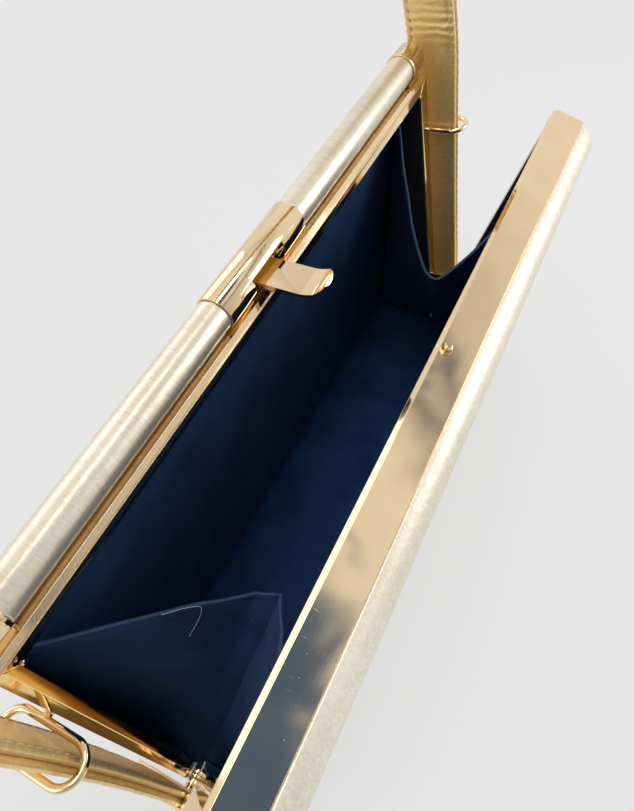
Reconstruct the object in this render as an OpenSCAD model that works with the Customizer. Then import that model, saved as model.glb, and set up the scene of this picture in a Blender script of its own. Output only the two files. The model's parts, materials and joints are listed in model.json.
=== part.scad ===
// Frame clutch bag: two shallow wedge-shaped halves hinged along the base, a
// leather-wrapped bar with a sprung clasp on the back half's top plate, and a
// strap handle that rises from the hinge corners through a wire ring at each end.
// Millimetres. +Z is up, +X runs from the near end to the far end, the front half
// is on -Y and the back half on +Y. Each half is drawn upright about its hinge
// line, with its meeting plane at y = 0, and is then leaned out to the open pose.

/* [Frame] */
// Length of the bag along its hinge line
frame_l = 200; // [175:1:240]
// Height from the hinge line to the top plates
frame_h = 105; // [92:1:125]
// Depth of each half's metal top plate
plate_d = 9.5; // [9:0.5:13]
// Thickness of the frame's metal
metal_t = 1; // [0.8:0.1:1.2]
// Width of the rim band along the top
top_rim_w = 4.7; // [4:0.1:6]
// Width of the rim band down each end
side_rim_w = 4.3; // [3.9:0.1:5.5]
// Bevel along the edge where the top plates meet
rim_bevel = 1; // [0.6:0.1:1.1]
// How deep the rim's face lies behind its lips
rim_recess = 0.3; // [0.2:0.05:0.5]
// Gap left between the two halves when the bag is closed
closing_gap = 0.3; // [0.2:0.1:0.6]

/* [Opening] */
// Angle between the two halves as photographed
open_angle = 22.5; // [16:0.5:30]

/* [Shells] */
// Depth of each half at the base
base_d = 29.6; // [25:0.1:36]
// Radius of the padded edge beside the top plate
pad_r = 6.3; // [5:0.1:8]
// How far the padded edge lies below the top plate
pad_drop = 0.7; // [0.4:0.1:1.2]
// Radius of the lower outer edge
base_r = 4.5; // [4.2:0.1:6]
// Radius of the lower edge beside the hinge line
seam_r = 3; // [2.6:0.1:4]
// Thickness of the leather
leather_t = 1; // [0.7:0.1:1.2]
// Thickness of the stiff board
board_t = 1.6; // [1:0.1:1.8]
// Thickness of the lining
lining_t = 0.6; // [0.4:0.1:0.8]

/* [Hinges] */
// Radius of the hinge eyes
eye_r = 2.2; // [2:0.1:2.6]
// Radius of the hinge pins
pin_r = 0.9; // [0.7:0.05:1.1]
// Thickness of a hinge leaf
leaf_t = 1.2; // [0.9:0.1:1.4]
// Height of a hinge leaf above the pin
leaf_h = 17; // [14:1:22]
// Running clearance on every pin
pin_play = 0.05; // [0.03:0.01:0.08]

/* [Bar] */
// Diameter of the leather-wrapped bar
bar_dia = 8.7; // [8:0.1:10]
// Distance of the bar's axis from the meeting plane
bar_y = 4.85; // [4.6:0.05:6]
// Diameter of the centre sleeve and the end caps
sleeve_dia = 9.6; // [9.2:0.1:11]
// Length of the centre sleeve
sleeve_l = 35.4; // [30:0.2:44]
// Length of each end cap
cap_l = 9.2; // [7:0.1:12]
// Gap under the sleeve and caps
bar_gap = 0.3; // [0.2:0.1:0.6]
// Diameter of the steel core that the lever turns on
core_dia = 2.4; // [2:0.1:2.8]
// Length of the window in the sleeve
window_l = 14.2; // [12:0.2:18]

/* [Clasp] */
// Width of the clasp lever
lever_w = 9; // [7:0.1:10.5]
// Thickness of the lever's plate
lever_t = 0.8; // [0.6:0.1:0.9]
// Distance from the bar's axis to the start of the lever's lip
lever_reach = 14.6; // [13:0.1:17]
// Radius of the turned-up lip's curve
lip_r = 14; // [12:0.5:16]
// Radius of the lip's rounded end, seen from above
nose_r = 5.5; // [5.5:0.5:10]
// Angle that the lever hangs below level while the bag is open
hang_angle = 4; // [2:0.5:6]
// Distance of the catch stud from the meeting plane
stud_y = 2.6; // [2.5:0.05:3.2]
// Radius of the catch stud's head
stud_r = 1.2; // [1:0.05:1.3]
// Angle below level at which the lever reaches the stud
latch_angle = 9; // [8:0.5:10]
// Angle above level that the lever lifts to
lift_angle = 30; // [20:1:32]

/* [Handle] */
// Width of the strap
strap_w = 16; // [13:0.5:18]
// Thickness of each of the strap's two layers
layer_t = 1.8; // [1.4:0.1:1.9]
// Gap between the two layers
layer_gap = 0.2; // [0.1:0.05:0.3]
// Distance of the strap's middle from the bag's end at the connectors
strap_out = 4.2; // [4:0.1:5]
// How far the near leg leans out by the top of the bag
near_lean = 3.9; // [1:0.1:4.2]
// How far the far leg leans out by the top of the bag
far_lean = 1.8; // [1:0.1:4.2]
// Height of the handle's crown above the top plates
handle_rise = 95; // [80:1:120]
// Length of strap that bends when the handle folds
bend_l = 20; // [14:1:22]
// Distance below the top plates of the line that the handle folds at
fold_drop = 3; // [1:0.5:5]

/* [Fittings] */
// Diameter of the keeper rings' wire
wire_dia = 1.8; // [1.4:0.1:2]
// Space inside each keeper ring across the strap
ring_inner_l = 19.4; // [18.5:0.1:22]
// Space inside each keeper ring out from the bag's end
ring_inner_d = 6.6; // [6.4:0.1:8]
// Distance of the near keeper ring below the top plates
near_ring_drop = 24; // [18:1:30]
// Distance of the far keeper ring below the top plates
far_ring_drop = 20; // [18:1:30]
// Height of the strap connectors
ferrule_h = 16; // [12:0.5:20]
// Wall of the strap connectors
ferrule_t = 0.9; // [0.5:0.1:1]

/* [Hidden] */

$fn = 48;
// Overrun of every cut past the faces it cuts
over = 2;
near = -1;
far = 1;
gold = [0.86, 0.7, 0.42];
champagne = [0.84, 0.78, 0.65];
strap_gold = [0.72, 0.6, 0.36];
navy = [0.07, 0.09, 0.2];
grey = [0.5, 0.5, 0.5];
foam = [0.9, 0.88, 0.8];

// Planes and lines that the pieces of a half share
rim_face = closing_gap / 2;
rim_back = rim_face + metal_t;
plate_under = frame_h - metal_t;
shell_floor = -eye_r;
tilt = open_angle / 2;

// How much of a side rail's band is its flat outer lip
side_lip_share = 0.45;

// The layers of a shell's wall, from the outside in
inner_r = 0.4;
lining_out = lining_t;
board_out = lining_out + board_t;
pad_centre = [plate_d, frame_h - pad_drop - pad_r];
base_centre = [base_d - base_r, shell_floor + base_r];
seam_centre = [rim_face + seam_r, shell_floor + seam_r];

function arc(c, r, a0, a1, n = 8) =
    [for (i = [0:n]) c + r * [cos(a0 + (a1 - a0) * i / n), sin(a0 + (a1 - a0) * i / n)]];

// Direction of the wall that touches both a top edge of radius r1 and a base edge of r2
function wall_angle(r1, r2) =
    let (d = pad_centre - base_centre) atan2(d.y, d.x) - acos((r2 - r1) / norm(d));

// Outline of a half in (y, z): r1 is the radius at the top edge, r2 at the base
function shell_outline(r1, r2) =
    let (wall = wall_angle(r1, r2), sunk = base_r - r2, lip = max(rim_face, rim_face + sunk))
    concat(
        [[sunk > 0 ? rim_back : rim_face, plate_under]],
        sunk > 0
            ? [[rim_back, shell_floor + sunk]]
            : arc(seam_centre, seam_r, 180, 270),
        arc(base_centre, r2, -90, wall),
        arc(pad_centre, r1, wall, 90),
        [[plate_d, plate_under]]
    );

leather_out = shell_outline(pad_r, base_r);
leather_in = shell_outline(pad_r - leather_t, base_r - leather_t);
board_face = shell_outline(inner_r + board_out, inner_r + board_out);
board_back = shell_outline(inner_r + lining_out, inner_r + lining_out);
lining_back = shell_outline(inner_r, inner_r);
inner_floor = base_centre.y - inner_r;

// The lowest point of the leaned halves, and how far they and the handle reach
lift = max([for (p = leather_out) p.x * sin(tilt) - p.y * cos(tilt)]);
front_reach = max([for (p = leather_out) p.x * cos(tilt) + p.y * sin(tilt)]);

// The bar, its clasp and the stud
bar_r = bar_dia / 2;
sleeve_r = sleeve_dia / 2;
core_r = core_dia / 2;
tube_r = bar_r - leather_t;
bar_z = frame_h + bar_gap + sleeve_r;
knuckle_r = core_r + pin_play + lever_t;
lever_top = -1;
lever_under = lever_top - lever_t;
catch_t = 0.7;
catch_share = 0.75;
lip_start = 8;
lip_turn = 34;
stud_foot_h = 0.5;
stud_neck_h = 0.6;
stud_head_h = 0.85;
stud_foot_share = 1.15;
stud_neck_share = 0.6;
stud_foot_r = stud_r * stud_foot_share;
stud_neck_r = stud_r * stud_neck_share;
stud_play = 0.35;
window_top_gap = 0.4;
window_low_gap = 1;
spring_t = 0.7;
spring_l = 3.2;
cap_round = 0.8;
collar_l = 1.2;

// The hinge corners, measured inward from the bag's end
leaf_gap = 0.1;
leaf_w = 7;
leaf_back_x = metal_t;
leaf_front_x = leaf_back_x + leaf_t + leaf_gap;
hinge_in = leaf_front_x + leaf_t;
notch_gap = 0.4;
rail_foot = eye_r + notch_gap + metal_t;
rim_foot = leaf_h + notch_gap;
hem_top = shell_floor + seam_r + leather_t;
rivet_r = 0.8;
leaf_rivet_r = 0.8;
pin_tail = 0.6;
head_t = 0.9;
head_r = pin_r * 2;
collar_share = 1.7;
collar_r = pin_r * collar_share;

// How far the gussets' folds lie from the ends, above the base and towards the front half
fold_in_share = 0.38;
fold_up_share = 0.6;
fold_lean_share = 0.5;

// The strap's middle line, in (x, z) of the back half
strap_t = 2 * layer_t + layer_gap;
ferrule_in = strap_out - strap_t / 2 - ferrule_t;
ferrule_out = strap_out + strap_t / 2 + ferrule_t;
ferrule_foot = eye_r * 2;
ferrule_top = ferrule_foot + ferrule_h;
strap_foot = ferrule_foot + ferrule_t;
lean_top = frame_h - closing_gap;
fold_z = frame_h - fold_drop;
bend_low = fold_z - bend_l / 2;
bend_high = fold_z + bend_l / 2;
bend_gap = 0.2;
arch_start = 2;
arch_mid = (far_lean - near_lean) / 2;
arch_half = frame_l / 2 + strap_out + (near_lean + far_lean) / 2;
arch_a = arch_half / cos(arch_start);
arch_b = (frame_h + handle_rise - lean_top) / (1 + sin(arch_start));
arch_z = lean_top + arch_b * sin(arch_start);
crown_z = arch_z + arch_b + strap_t / 2;
back_reach = strap_w / 2 * cos(tilt) + crown_z * sin(tilt);
y_shift = (front_reach - back_reach) / 2;

function leg_out(end, z) =
    let (u = max(0, (z - ferrule_top) / (lean_top - ferrule_top)))
    z <= lean_top
        ? strap_out + (end == near ? near_lean : far_lean) * u * u
        : arch_a * sqrt(1 - pow((z - arch_z) / arch_b, 2)) + end * arch_mid - frame_l / 2;
function leg_line(end, z0, z1, n = 16) =
    [for (i = [0:n]) let (z = z0 + (z1 - z0) * i / n) [end * (frame_l / 2 + leg_out(end, z)), z]];
function arch_line(n = 64) =
    let (a0 = asin((bend_high - arch_z) / arch_b))
    [for (i = [0:n]) let (a = 180 - a0 - (180 - 2 * a0) * i / n)
        [arch_mid + arch_a * cos(a), arch_z + arch_b * sin(a)]];
function side_of(line, i) =
    let (d = line[min(i + 1, len(line) - 1)] - line[max(i - 1, 0)]) [-d.y, d.x] / norm(d);
// The band between two offsets from a line
function band(line, a, b) = concat(
    [for (i = [0:len(line) - 1]) line[i] + a * side_of(line, i)],
    [for (i = [len(line) - 1:-1:0]) line[i] + b * side_of(line, i)]
);

// Moves a piece drawn about the hinge line to its place over the origin
module on_stand() {
    translate([0, y_shift, lift])
        children();
}

module back_half() {
    on_stand()
        rotate([-tilt, 0, 0])
            children();
}

module front_half() {
    on_stand()
        rotate([tilt, 0, 0])
            mirror([0, 1, 0])
                children();
}

// Puts x = 0 on the bag's end plane, with +x pointing into the bag
module at_end(end) {
    mirror([end == far ? 1 : 0, 0, 0])
        translate([-frame_l / 2, 0, 0])
            children();
}

module along_x(x0, x1) {
    translate([x0, 0, 0])
        rotate([90, 0, 90])
            linear_extrude(x1 - x0)
                children();
}

module along_y(y0, y1) {
    translate([0, y1, 0])
        rotate([90, 0, 0])
            linear_extrude(y1 - y0)
                children();
}

module rod_x(x0, x1, r) {
    translate([x0, 0, 0])
        rotate([0, 90, 0])
            cylinder(r = r, h = x1 - x0);
}

module block(low, high) {
    translate(low)
        cube(high - low);
}

// Top plate with its bevelled edge, grooved lip and recessed rim band
module top_rail() {
    lip_w = rim_bevel / 2;
    groove_low = frame_h - rim_bevel - lip_w;
    lip_low = groove_low - lip_w;
    color(gold)
        difference() {
            along_x(-frame_l / 2, frame_l / 2)
                polygon([
                    [rim_face + rim_bevel, frame_h],
                    [rim_face, frame_h - rim_bevel],
                    [rim_face + rim_recess, frame_h - rim_bevel],
                    [rim_face + rim_recess, groove_low],
                    [rim_face, groove_low],
                    [rim_face, lip_low],
                    [rim_face + rim_recess, lip_low],
                    [rim_face + rim_recess, frame_h - top_rim_w],
                    [rim_back, frame_h - top_rim_w],
                    [rim_back, plate_under],
                    [plate_d, plate_under],
                    [plate_d, frame_h]
                ]);
            for (end = [near, far])
                at_end(end)
                    along_y(-over, plate_d + over)
                        polygon([
                            [-over, plate_under],
                            [side_rim_w * metal_t / top_rim_w, plate_under],
                            [side_rim_w, frame_h - top_rim_w],
                            [side_rim_w, frame_h - top_rim_w - over],
                            [-over, frame_h - top_rim_w - over]
                        ]);
        }
}

// Side rail: an outer wall and a rim band that dishes inward, mitred to the top rail
module side_rail(end) {
    lip_w = side_rim_w * side_lip_share;
    color(gold)
        at_end(end)
            difference() {
                translate([0, 0, rail_foot])
                    linear_extrude(plate_under - rail_foot)
                        polygon([
                            [0, rim_face],
                            [lip_w, rim_face],
                            [side_rim_w, rim_face + rim_recess],
                            [side_rim_w, rim_back],
                            [metal_t, rim_back],
                            [metal_t, plate_d],
                            [0, plate_d]
                        ]);
                along_y(-over, rim_back)
                    polygon([
                        [side_rim_w * metal_t / top_rim_w, plate_under],
                        [side_rim_w, frame_h - top_rim_w],
                        [side_rim_w + over, frame_h - top_rim_w],
                        [side_rim_w + over, frame_h],
                        [side_rim_w * metal_t / top_rim_w, frame_h]
                    ]);
                block([metal_t, -over, shell_floor], [side_rim_w + over, rim_back + over, rim_foot]);
                along_x(-over, metal_t + over)
                    difference() {
                        square([leaf_w, rail_foot + leaf_w / 2]);
                        translate([leaf_w / 2 + rim_face, rail_foot + leaf_w / 2])
                            circle(r = leaf_w / 2);
                        translate([leaf_w / 2 + rim_face, rail_foot])
                            square([leaf_w, leaf_w]);
                    }
            }
}

// Ball-headed rivets in the inner corners of the mitred rim
module corner_rivets() {
    sunk = rivet_r / 2;
    corner = [side_rim_w, rim_face, frame_h - top_rim_w];
    color(gold)
        for (end = [near, far])
            at_end(end)
                intersection() {
                    translate(corner + [sunk, rivet_r, -sunk])
                        sphere(r = rivet_r);
                    block(corner - [0, over, over], corner + [over, over, 0]);
                }
}

// Room for the hinge eyes and leaves at both ends
module hinge_room() {
    for (end = [near, far])
        at_end(end) {
            rod_x(-over, hinge_in + pin_tail + notch_gap, eye_r + notch_gap);
            block(
                [metal_t, -over, 0],
                [hinge_in + notch_gap, rim_back + leaf_w + notch_gap, leaf_h + notch_gap]
            );
        }
}

// The leather wrap over the face and the base, with its hem at the hinge line
module leather_wrap() {
    color(champagne)
        difference() {
            along_x(-frame_l / 2, frame_l / 2)
                difference() {
                    polygon(leather_out);
                    polygon(leather_in);
                    translate([0, hem_top])
                        square([rim_back, frame_h]);
                }
            for (end = [near, far])
                at_end(end)
                    rod_x(-over, hinge_in + pin_tail + notch_gap, eye_r + notch_gap);
        }
}

// The leather over one end, behind the metal rail and below its foot
module end_leather(end) {
    color(champagne)
        at_end(end)
            difference() {
                along_x(0, leather_t)
                    intersection() {
                        polygon(leather_in);
                        union() {
                            translate([plate_d, -frame_h])
                                square([base_d, 2 * frame_h]);
                            translate([0, -frame_h])
                                square([base_d, frame_h + rail_foot]);
                        }
                    }
                rod_x(-over, leather_t + over, eye_r + notch_gap);
            }
}

module padding() {
    color(foam)
        difference() {
            along_x(-frame_l / 2 + leather_t, frame_l / 2 - leather_t)
                difference() {
                    polygon(leather_in);
                    polygon(board_face);
                }
            hinge_room();
        }
}

// A tray between two outlines, closed at both ends and open where the halves meet
module tray(outside, inside, start, wall) {
    reach = frame_l / 2 - start;
    difference() {
        along_x(-reach, reach)
            polygon(outside);
        along_x(wall - reach, reach - wall)
            union() {
                polygon(inside);
                translate([0, inside[1].y])
                    square([rim_back + over, frame_h]);
                translate([0, plate_under - over])
                    square([plate_d, 2 * over]);
            }
        hinge_room();
    }
}

module board() {
    color(grey)
        tray(board_face, board_back, metal_t, board_t);
}

module lining() {
    color(navy)
        tray(board_back, lining_back, metal_t + board_t, lining_t);
}

// A hinge leaf with its eye; the front half's stands further in, on a pad
module hinge_leaf(end, x, pad) {
    color(gold)
        at_end(end)
            difference() {
                union() {
                    rod_x(x, x + leaf_t, eye_r);
                    block([x, rim_back, 0], [x + leaf_t, rim_back + leaf_w / 2, leaf_h / 2]);
                    block([x, rim_back, leaf_h / 2], [x + leaf_t, rim_back + leaf_w, leaf_h]);
                    if (pad)
                        block([metal_t, rim_back, leaf_h / 2], [x, rim_back + leaf_w, leaf_h]);
                }
                rod_x(x - over, x + leaf_t + over, pin_r + pin_play);
            }
}

// The shouldered pin that carries both leaves and the strap's connector
module hinge_pin(end) {
    tongue_out = ferrule_in + leaf_t + leaf_gap;
    color(gold)
        at_end(end) {
            rod_x(-tongue_out, hinge_in + pin_tail, pin_r);
            rod_x(-tongue_out - head_t, -tongue_out, head_r);
            rod_x(leaf_gap - ferrule_in, metal_t - leaf_gap, collar_r);
            rod_x(hinge_in + leaf_gap, hinge_in + pin_tail, collar_r);
        }
}

// Turns a child drawn along x about the bar's axis into place
module at_bar() {
    translate([0, bar_y, bar_z])
        children();
}

module tube_x(x0, x1, r_out, r_in) {
    difference() {
        rod_x(x0, x1, r_out);
        rod_x(x0 - over, x1 + over, r_in);
    }
}

module bar_core() {
    color(grey)
        at_bar()
            rod_x(cap_round - frame_l / 2, frame_l / 2 - cap_round, core_r);
}

module bar_tube(end) {
    color(grey)
        at_bar()
            at_end(end)
                tube_x(cap_round, (frame_l - sleeve_l) / 2 + cap_l / 2, tube_r, core_r);
}

// The leather round the bar, from inside the end cap to inside the sleeve
module bar_leather(end) {
    color(champagne)
        at_bar()
            at_end(end)
                tube_x(cap_l / 2, (frame_l - sleeve_l) / 2 + cap_l / 2, bar_r, tube_r);
}

// The gold sleeve with the window that the lever comes out of
module clasp_sleeve() {
    lever_low = lever_under - catch_t;
    window_high = lever_top * cos(lift_angle) + sleeve_r * sin(lift_angle) + window_top_gap;
    window_low = lever_low * cos(latch_angle) - sleeve_r * sin(latch_angle) - window_low_gap;
    color(gold)
        at_bar()
            difference() {
                tube_x(-sleeve_l / 2, sleeve_l / 2, sleeve_r, bar_r);
                block(
                    [-window_l / 2, -sleeve_r - over, window_low],
                    [window_l / 2, 0, window_high]
                );
            }
}

// An end cap with its rounded end, its collar and the foot that stands on the plate
module bar_cap(end) {
    foot_w = sleeve_r;
    cap_r = (bar_r + sleeve_r) / 2;
    color(gold)
        at_bar()
            at_end(end)
                difference() {
                    union() {
                        rotate([0, 90, 0])
                            rotate_extrude()
                                polygon([
                                    [0, 0],
                                    [cap_r - cap_round, 0],
                                    [cap_r - cap_round * (1 - sin(45)), cap_round * (1 - cos(45))],
                                    [cap_r, cap_round],
                                    [cap_r, cap_l - collar_l],
                                    [sleeve_r, cap_l - collar_l],
                                    [sleeve_r, cap_l],
                                    [0, cap_l]
                                ]);
                        block(
                            [cap_round, -foot_w / 2, -bar_gap - sleeve_r],
                            [cap_l - cap_round, foot_w / 2, -core_r]
                        );
                    }
                    rod_x(cap_l / 2, cap_l + over, bar_r);
                    rod_x(cap_round, cap_l + over, tube_r);
                }
}

// The lever: a knuckle round the core, a flat plate with the catch under it, and a lip
module clasp_lever() {
    lip_in_r = lip_r - lever_t;
    lip_at = [lip_r * sin(lip_start) - lever_reach, lever_top + lip_in_r * cos(lip_start)];
    nose_y = nose_r - lever_reach - lip_r * (sin(lip_turn) - sin(lip_start));
    hole_y = bar_y + stud_y;
    catch_end = hole_y + (lever_reach - hole_y) * catch_share;
    color(gold)
        at_bar()
            rotate([hang_angle, 0, 0])
                difference() {
                    union() {
                        rod_x(-lever_w / 2, lever_w / 2, knuckle_r);
                        block([-lever_w / 2, -lever_reach, lever_under], [lever_w / 2, 0, lever_top]);
                        block(
                            [-lever_w / 2, -catch_end, lever_under - catch_t],
                            [lever_w / 2, -sleeve_r, lever_under]
                        );
                        along_x(-lever_w / 2, lever_w / 2)
                            polygon(concat(
                                arc(lip_at, lip_r, -90 - lip_start, -90 - lip_turn),
                                arc(lip_at, lip_in_r, -90 - lip_turn, -90 - lip_start)
                            ));
                    }
                    rod_x(-lever_w, lever_w, core_r + pin_play);
                    translate([0, -hole_y, lever_under - catch_t - over])
                        cylinder(r = stud_r + stud_play, h = catch_t + over);
                    translate([0, nose_y, -over])
                        linear_extrude(2 * over + lip_r)
                            difference() {
                                translate([-nose_r, -2 * nose_r])
                                    square([2 * nose_r, 2 * nose_r]);
                                circle(r = nose_r);
                            }
                }
}

// The torsion spring, wound close beside the lever's knuckle
module lever_spring() {
    color(grey)
        at_bar()
            tube_x(
                lever_w / 2 + leaf_gap,
                lever_w / 2 + leaf_gap + spring_l,
                core_r + spring_t,
                core_r
            );
}

module catch_stud() {
    color(gold)
        translate([0, stud_y, frame_h]) {
            cylinder(r = stud_foot_r, h = stud_foot_h);
            translate([0, 0, stud_foot_h])
                cylinder(r = stud_neck_r, h = stud_neck_h);
            translate([0, 0, stud_foot_h + stud_neck_h])
                cylinder(r1 = stud_r, r2 = stud_neck_r, h = stud_head_h, $fn = 32);
        }
}

// A folded end gusset: on each side a flat stretch over the end wall, and a slack
// triangle that runs inward to the fold
module gusset(end) {
    fabric = lining_t;
    edge_x = hinge_in + notch_gap + fabric;
    top_z = frame_h - plate_d;
    low_z = inner_floor + fabric;
    rim_y = rim_back + fabric;
    base_y = base_centre.x - fabric;
    fold_in = frame_h * fold_in_share;
    fold_up = frame_h * fold_up_share;
    fold_lean = fold_up * tan(tilt) * fold_lean_share;
    module tuft() {
        cube(fabric, center = true);
    }
    module corner(side, y, z) {
        rotate([-side * tilt, 0, 0])
            translate([edge_x, side * y, z])
                tuft();
    }
    color(navy)
        on_stand()
            at_end(end)
                for (side = [-1, 1]) {
                    hull() {
                        corner(side, plate_d, top_z);
                        corner(side, base_y, low_z);
                        corner(side, rim_y, low_z + eye_r);
                    }
                    hull() {
                        corner(side, plate_d, top_z);
                        corner(side, rim_y, low_z + eye_r);
                        translate([edge_x + fabric, 0, low_z + 2 * eye_r])
                            tuft();
                        translate([edge_x + fold_in, -fold_lean, fold_up])
                            tuft();
                    }
                }
}

module strap_layer(line, a, b) {
    color(strap_gold)
        along_y(-strap_w / 2, strap_w / 2)
            polygon(band(line, a, b));
}

// One layer of a leg, from inside its connector to the stretch that bends
module strap_leg(end, a, b) {
    strap_layer(leg_line(end, strap_foot, bend_low), a, b);
}

// Both layers of the stretch above the ring that bends when the handle folds
module strap_bend(end) {
    line = leg_line(end, bend_low, bend_high - bend_gap, 6);
    for (side = [-1, 1])
        strap_layer(line, side * layer_gap / 2, side * strap_t / 2);
}

module handle_layer(a, b) {
    strap_layer(arch_line(), a, b);
}

// The box that grips the strap's foot, with its tongue on the hinge pin
module ferrule(end) {
    half_w = strap_w / 2 + ferrule_t;
    color(gold)
        at_end(end)
            difference() {
                union() {
                    block([-ferrule_out, -half_w, ferrule_foot], [-ferrule_in, half_w, ferrule_top]);
                    rod_x(-ferrule_in - leaf_t, -ferrule_in, eye_r);
                    block(
                        [-ferrule_in - leaf_t, -eye_r, 0],
                        [-ferrule_in, eye_r, ferrule_foot + ferrule_t]
                    );
                }
                rod_x(-ferrule_out, 0, pin_r + pin_play);
                block(
                    [-strap_out - strap_t / 2, -strap_w / 2, strap_foot],
                    [-strap_out + strap_t / 2, strap_w / 2, ferrule_top + over]
                );
            }
}

// The wire ring that keeps the strap close to the bag's end, on its post
module keeper_ring(end) {
    wire_r = wire_dia / 2;
    turn_r = ring_inner_d / 2 + wire_r;
    half_l = ring_inner_l / 2 + wire_r - turn_r;
    ring_out = wire_dia / 2 + turn_r + wire_r;
    ring_z = frame_h - (end == near ? near_ring_drop : far_ring_drop);
    post_y = plate_d / 4;
    color(gold)
        at_end(end)
            translate([-ring_out, 0, ring_z]) {
                for (side = [-1, 1])
                    translate([0, side * half_l, 0])
                        rotate([0, 0, side > 0 ? 0 : 180])
                            rotate_extrude(angle = 180)
                                translate([turn_r, 0])
                                    circle(r = wire_r);
                for (side = [-1, 1])
                    translate([side * turn_r, half_l, 0])
                        rotate([90, 0, 0])
                            cylinder(r = wire_r, h = 2 * half_l);
                translate([turn_r, post_y, 0])
                    rod_x(0, ring_out - turn_r, wire_r);
            }
}

back_half() top_rail();  // back_top_rail
back_half() side_rail(near);  // back_rail_near
back_half() side_rail(far);  // back_rail_far
back_half() corner_rivets();  // back_corner_rivets
back_half() board();  // back_board
back_half() padding();  // back_padding
back_half() leather_wrap();  // back_leather
back_half() end_leather(near);  // back_end_near
back_half() end_leather(far);  // back_end_far
back_half() lining();  // back_lining

front_half() top_rail();  // front_top_rail
front_half() side_rail(near);  // front_rail_near
front_half() side_rail(far);  // front_rail_far
front_half() corner_rivets();  // front_corner_rivets
front_half() board();  // front_board
front_half() padding();  // front_padding
front_half() leather_wrap();  // front_leather
front_half() end_leather(near);  // front_end_near
front_half() end_leather(far);  // front_end_far
front_half() lining();  // front_lining
front_half() catch_stud();

back_half() bar_core();
back_half() bar_tube(near);  // bar_tube_near
back_half() bar_tube(far);  // bar_tube_far
back_half() bar_leather(near);  // bar_leather_near
back_half() bar_leather(far);  // bar_leather_far
back_half() clasp_sleeve();
back_half() bar_cap(near);  // bar_cap_near
back_half() bar_cap(far);  // bar_cap_far
back_half() clasp_lever();
back_half() lever_spring();

back_half() hinge_leaf(near, leaf_back_x, false);  // hinge_leaf_back_near
back_half() hinge_leaf(far, leaf_back_x, false);  // hinge_leaf_back_far
front_half() hinge_leaf(near, leaf_front_x, true);  // hinge_leaf_front_near
front_half() hinge_leaf(far, leaf_front_x, true);  // hinge_leaf_front_far
back_half() hinge_pin(near);  // hinge_pin_near
back_half() hinge_pin(far);  // hinge_pin_far

gusset(near);  // gusset_near
gusset(far);  // gusset_far

back_half() strap_leg(near, -strap_t / 2, -layer_gap / 2);  // strap_inner_near
back_half() strap_leg(far, layer_gap / 2, strap_t / 2);  // strap_inner_far
back_half() strap_leg(near, layer_gap / 2, strap_t / 2);  // strap_outer_near
back_half() strap_leg(far, -strap_t / 2, -layer_gap / 2);  // strap_outer_far
back_half() strap_bend(near);  // strap_bend_near
back_half() strap_bend(far);  // strap_bend_far
back_half() handle_layer(-strap_t / 2, -layer_gap / 2);  // handle_inner
back_half() handle_layer(layer_gap / 2, strap_t / 2);  // handle_outer
back_half() ferrule(near);  // ferrule_near
back_half() ferrule(far);  // ferrule_far
back_half() keeper_ring(near);  // keeper_ring_near
back_half() keeper_ring(far);  // keeper_ring_far
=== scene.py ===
import json
import math

import bpy
from mathutils import Matrix, Vector, noise


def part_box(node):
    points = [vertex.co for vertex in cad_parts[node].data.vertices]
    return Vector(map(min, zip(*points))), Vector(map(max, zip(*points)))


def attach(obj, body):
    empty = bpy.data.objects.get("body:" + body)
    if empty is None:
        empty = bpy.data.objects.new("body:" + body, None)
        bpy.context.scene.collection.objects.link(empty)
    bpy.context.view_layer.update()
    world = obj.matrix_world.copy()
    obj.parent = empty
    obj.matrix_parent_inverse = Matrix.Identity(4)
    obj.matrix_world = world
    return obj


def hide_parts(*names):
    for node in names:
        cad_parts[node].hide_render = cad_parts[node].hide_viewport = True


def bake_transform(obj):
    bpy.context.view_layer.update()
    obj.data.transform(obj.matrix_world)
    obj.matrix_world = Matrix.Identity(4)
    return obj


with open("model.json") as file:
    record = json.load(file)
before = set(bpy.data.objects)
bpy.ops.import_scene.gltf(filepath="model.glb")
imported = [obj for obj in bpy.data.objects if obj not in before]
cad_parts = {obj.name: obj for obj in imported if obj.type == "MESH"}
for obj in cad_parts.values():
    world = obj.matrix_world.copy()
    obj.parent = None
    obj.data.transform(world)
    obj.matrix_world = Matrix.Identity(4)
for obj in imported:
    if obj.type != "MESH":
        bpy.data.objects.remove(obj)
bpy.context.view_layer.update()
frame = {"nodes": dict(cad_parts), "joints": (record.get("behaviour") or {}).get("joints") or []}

mm = 0.001
up = Vector((0, 0, 1))

# Sizes of the bag, as its construction has them
frame_h = 105 * mm
plate_d = 9.5 * mm
metal_t = 1 * mm
top_rim_w = 4.7 * mm
side_rim_w = 4.3 * mm
rim_face = 0.15 * mm
rim_back = rim_face + metal_t
base_d = 29.6 * mm
pad_r = 6.3 * mm
pad_drop = 0.7 * mm
base_r = 4.5 * mm
seam_r = 3 * mm
eye_r = 2.2 * mm
leather_t = 1 * mm
board_t = 1.6 * mm
lining_t = 0.6 * mm
shell_floor = -eye_r
pad_centre = Vector((plate_d, frame_h - pad_drop - pad_r))
base_centre = Vector((base_d - base_r, shell_floor + base_r))
seam_centre = Vector((rim_face + seam_r, shell_floor + seam_r))
rail_foot = eye_r + 0.4 * mm + metal_t

# Sizes of the bar
bar_y = 4.85 * mm
bar_z = 110.1 * mm
bar_r = 4.35 * mm
sleeve_l = 35.4 * mm
cap_l = 9.2 * mm
knuckle_reach = 5.6 * mm

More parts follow.
